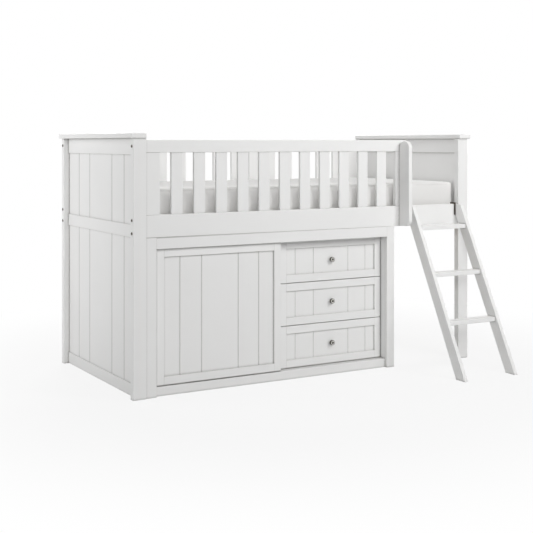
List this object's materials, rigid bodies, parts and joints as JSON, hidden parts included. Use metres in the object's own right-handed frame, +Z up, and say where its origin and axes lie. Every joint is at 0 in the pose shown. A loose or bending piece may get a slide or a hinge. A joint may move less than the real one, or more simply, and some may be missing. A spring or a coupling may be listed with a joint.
{
  "type": "low loft bed",
  "caption": "Low loft bed with panelled ends, slatted guards, a hook-on ladder and an under-bed cabinet with a sliding boarded door and a stack of drawers.",
  "frame": {"origin": "on the floor, at the middle of the rectangle that the bed and its ladder cover", "axes": "+X along the bed from the cabinet's cupboard end to the ladder end, +Y from the front to the back, +Z up"},
  "size_m": [2.034, 1.476, 1.242],
  "materials": {
    "white_paint": "satin",
    "white_board": "satin",
    "bare_pine": "matte",
    "mattress_cover": "matte",
    "knob_chrome": "polished",
    "dark_steel": "satin",
    "nylon": "matte"
  },
  "bodies": {
    "bed": {"base_slats": "bare_pine", "cabinet_back": "white_board", "cabinet_divider": "white_paint", "cabinet_floor": "white_paint", "cabinet_left_side": "white_paint", "cabinet_left_stile": "white_paint", "cabinet_plinth": "white_paint", "cabinet_right_side": "white_paint", "cabinet_right_stile": "white_paint", "cabinet_top": "white_paint", "cabinet_top_rail": "white_paint", "cupboard_shelf": "white_board", "door_guide": "white_paint", "drawer_runners": "bare_pine", "frame_bolts": "dark_steel", "front_guard_slats": "white_paint", "front_guard_stiles": "white_paint", "front_guard_top_rail": "white_paint", "front_side_rail": "white_paint", "grab_board": "white_paint", "left_bottom_rail": "white_paint", "left_cap": "white_paint", "left_front_post": "white_paint", "left_lower_panel": "white_paint", "left_mid_rail": "white_paint", "left_rear_post": "white_paint", "left_top_rail": "white_paint", "left_upper_panel": "white_paint", "mattress": "mattress_cover", "rear_guard_slats": "white_paint", "rear_guard_stiles": "white_paint", "rear_guard_top_rail": "white_paint", "rear_side_rail": "white_paint", "right_cap": "white_paint", "right_front_post": "white_paint", "right_mid_rail": "white_paint", "right_rear_post": "white_paint", "right_top_rail": "white_paint", "right_upper_panel": "white_paint", "shelf_pins": "nylon", "slat_ledgers": "bare_pine"},
    "sliding_door": {"door_frame": "white_paint", "door_panel": "white_paint", "door_glides": "nylon"},
    "top_drawer": {"top_drawer_frame": "white_paint", "top_drawer_panel": "white_paint", "top_drawer_box": "white_board", "top_drawer_knob": "knob_chrome"},
    "middle_drawer": {"middle_drawer_frame": "white_paint", "middle_drawer_panel": "white_paint", "middle_drawer_box": "white_board", "middle_drawer_knob": "knob_chrome"},
    "bottom_drawer": {"bottom_drawer_frame": "white_paint", "bottom_drawer_panel": "white_paint", "bottom_drawer_box": "white_board", "bottom_drawer_knob": "knob_chrome"},
    "ladder": {"ladder_left_stringer": "white_paint", "ladder_right_stringer": "white_paint", "ladder_steps": "white_paint", "ladder_hooks": "dark_steel"}
  },
  "joints": [
    {"name": "door_slide", "type": "slide", "parent": "bed", "child": "sliding_door", "axis": [-1, 0, 0], "range_m": [-0.64, 0]},
    {"name": "top_drawer_slide", "type": "slide", "parent": "bed", "child": "top_drawer", "axis": [0, -1, 0], "range_m": [0, 0.36]},
    {"name": "middle_drawer_slide", "type": "slide", "parent": "bed", "child": "middle_drawer", "axis": [0, -1, 0], "range_m": [0, 0.36]},
    {"name": "bottom_drawer_slide", "type": "slide", "parent": "bed", "child": "bottom_drawer", "axis": [0, -1, 0], "range_m": [0, 0.36]},
    {"name": "ladder_lift", "type": "slide", "parent": "bed", "child": "ladder", "axis": [0, 0, 1], "range_m": [0, 0.06]}
  ]
}
